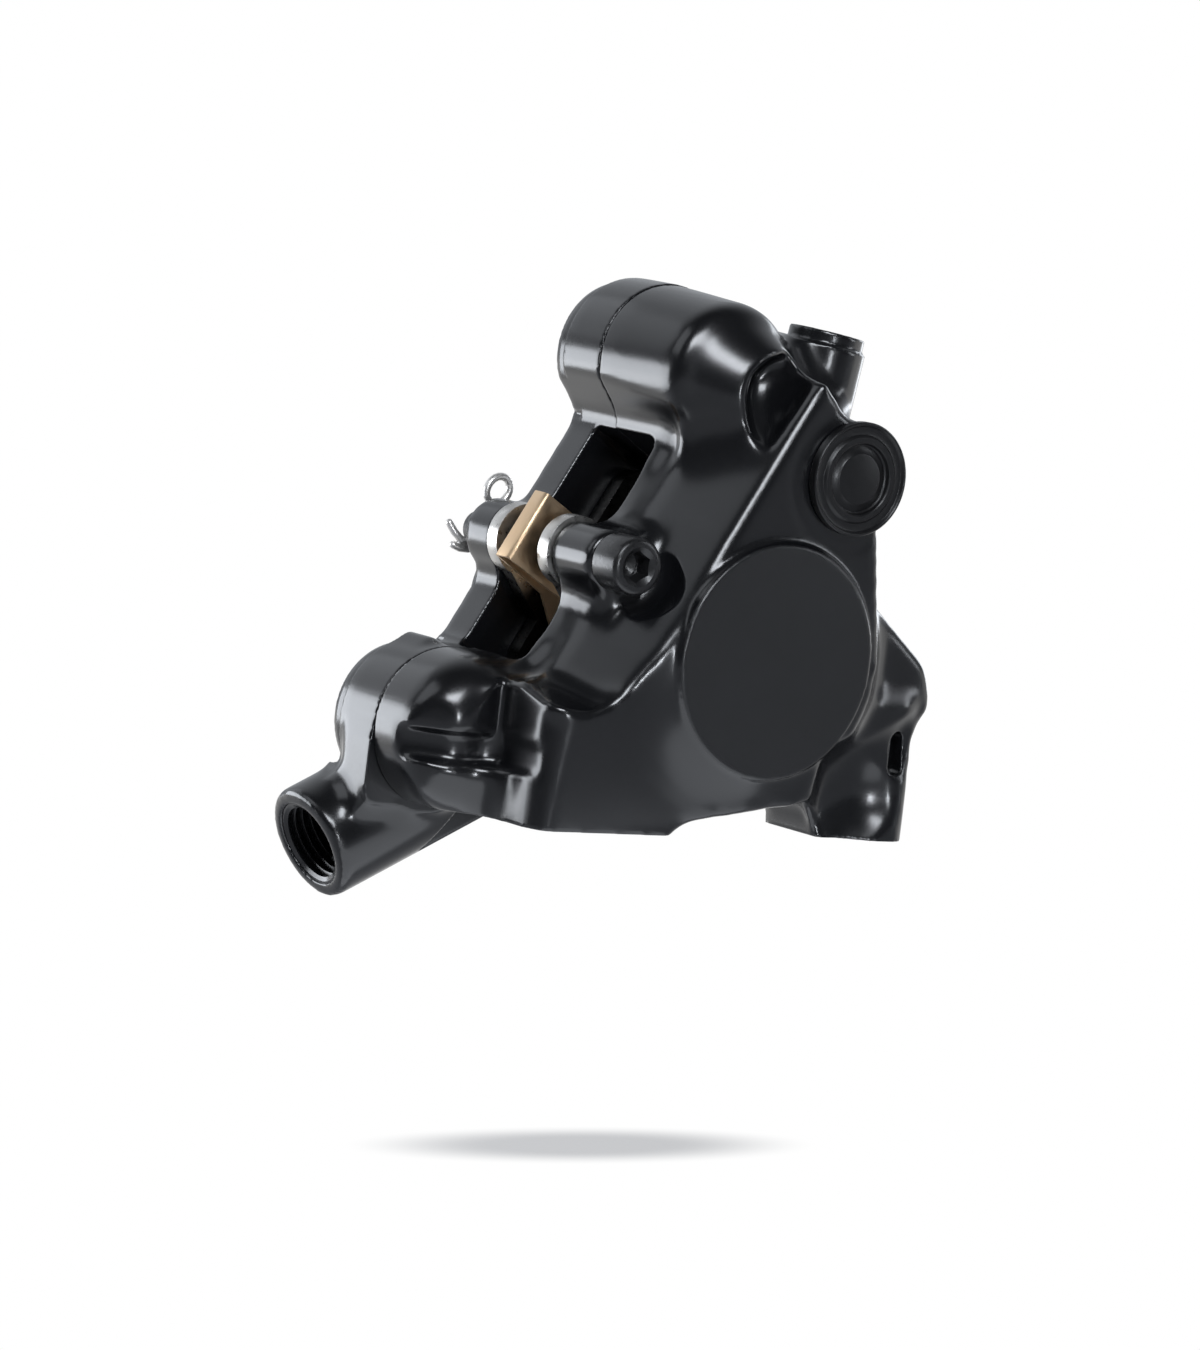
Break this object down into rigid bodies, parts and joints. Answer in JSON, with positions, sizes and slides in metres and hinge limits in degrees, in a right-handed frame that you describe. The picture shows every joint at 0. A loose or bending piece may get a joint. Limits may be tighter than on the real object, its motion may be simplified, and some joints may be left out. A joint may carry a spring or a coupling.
{
  "type": "bicycle disc brake caliper",
  "caption": "Rear flat-mount hydraulic disc brake caliper: two bolted body halves with opposed pistons, axle-hung pads, a sprung pad gap for the rotor and an angled hose port.",
  "frame": {"origin": "midway between the two frame bolts, on the mount face", "axes": "+X along the two frame bolts away from the hose port, +Y along the rotor axis towards the wheel, +Z away from the frame"},
  "size_m": [0.065, 0.0404, 0.0692],
  "materials": {
    "body": "satin black anodised",
    "bolt": "plain steel",
    "seal": "matte",
    "piston": "smooth ceramic resin",
    "plate": "stamped steel",
    "lining": "pressed friction resin",
    "spring": "bronze-coloured spring sheet",
    "axle": "black oxide",
    "clip": "bright wire",
    "rubber": "moulded matte rubber"
  },
  "bodies": {
    "caliper": {"outer_body_half": "body", "inner_body_half": "body", "upper_bridge_bolt": "bolt", "lower_bridge_bolt": "bolt", "passage_seal": "seal", "outer_piston_seal": "seal", "inner_piston_seal": "seal", "pad_spring": "spring", "pad_axle": "axle", "pad_axle_clip": "clip", "bleed_nipple": "bolt", "bleed_cap": "rubber"},
    "outer_piston": {"outer_piston": "piston"},
    "inner_piston": {"inner_piston": "piston"},
    "outer_pad": {"outer_pad_plate": "plate", "outer_pad_lining": "lining"},
    "inner_pad": {"inner_pad_plate": "plate", "inner_pad_lining": "lining"},
    "valve": {"valve_screw": "axle", "valve_ring": "seal"}
  },
  "joints": [
    {"name": "outer_piston_slide", "type": "slide", "parent": "caliper", "child": "outer_piston", "axis": [0, 1, 0], "range_m": [0, 0.0012], "stiffness_N_per_m": 1200, "deforming": ["pad_spring"]},
    {"name": "inner_piston_slide", "type": "slide", "parent": "caliper", "child": "inner_piston", "axis": [0, -1, 0], "range_m": [0, 0.0012]},
    {"name": "outer_pad_slide", "type": "slide", "parent": "caliper", "child": "outer_pad", "axis": [0, 1, 0], "range_m": [0, 0.0012]},
    {"name": "inner_pad_slide", "type": "slide", "parent": "caliper", "child": "inner_pad", "axis": [0, -1, 0], "range_m": [0, 0.0012]},
    {"name": "valve_turn", "type": "hinge", "parent": "caliper", "child": "valve", "pos_m": [0.0114, 0.0036, 0.054], "axis": [0.1478, 0, 0.989], "range_deg": [0, 90]}
  ],
  "couplings": [
    {"joint": "inner_piston_slide", "follows": "outer_piston_slide", "ratio": 1},
    {"joint": "outer_pad_slide", "follows": "outer_piston_slide", "ratio": 1},
    {"joint": "inner_pad_slide", "follows": "outer_piston_slide", "ratio": 1}
  ]
}
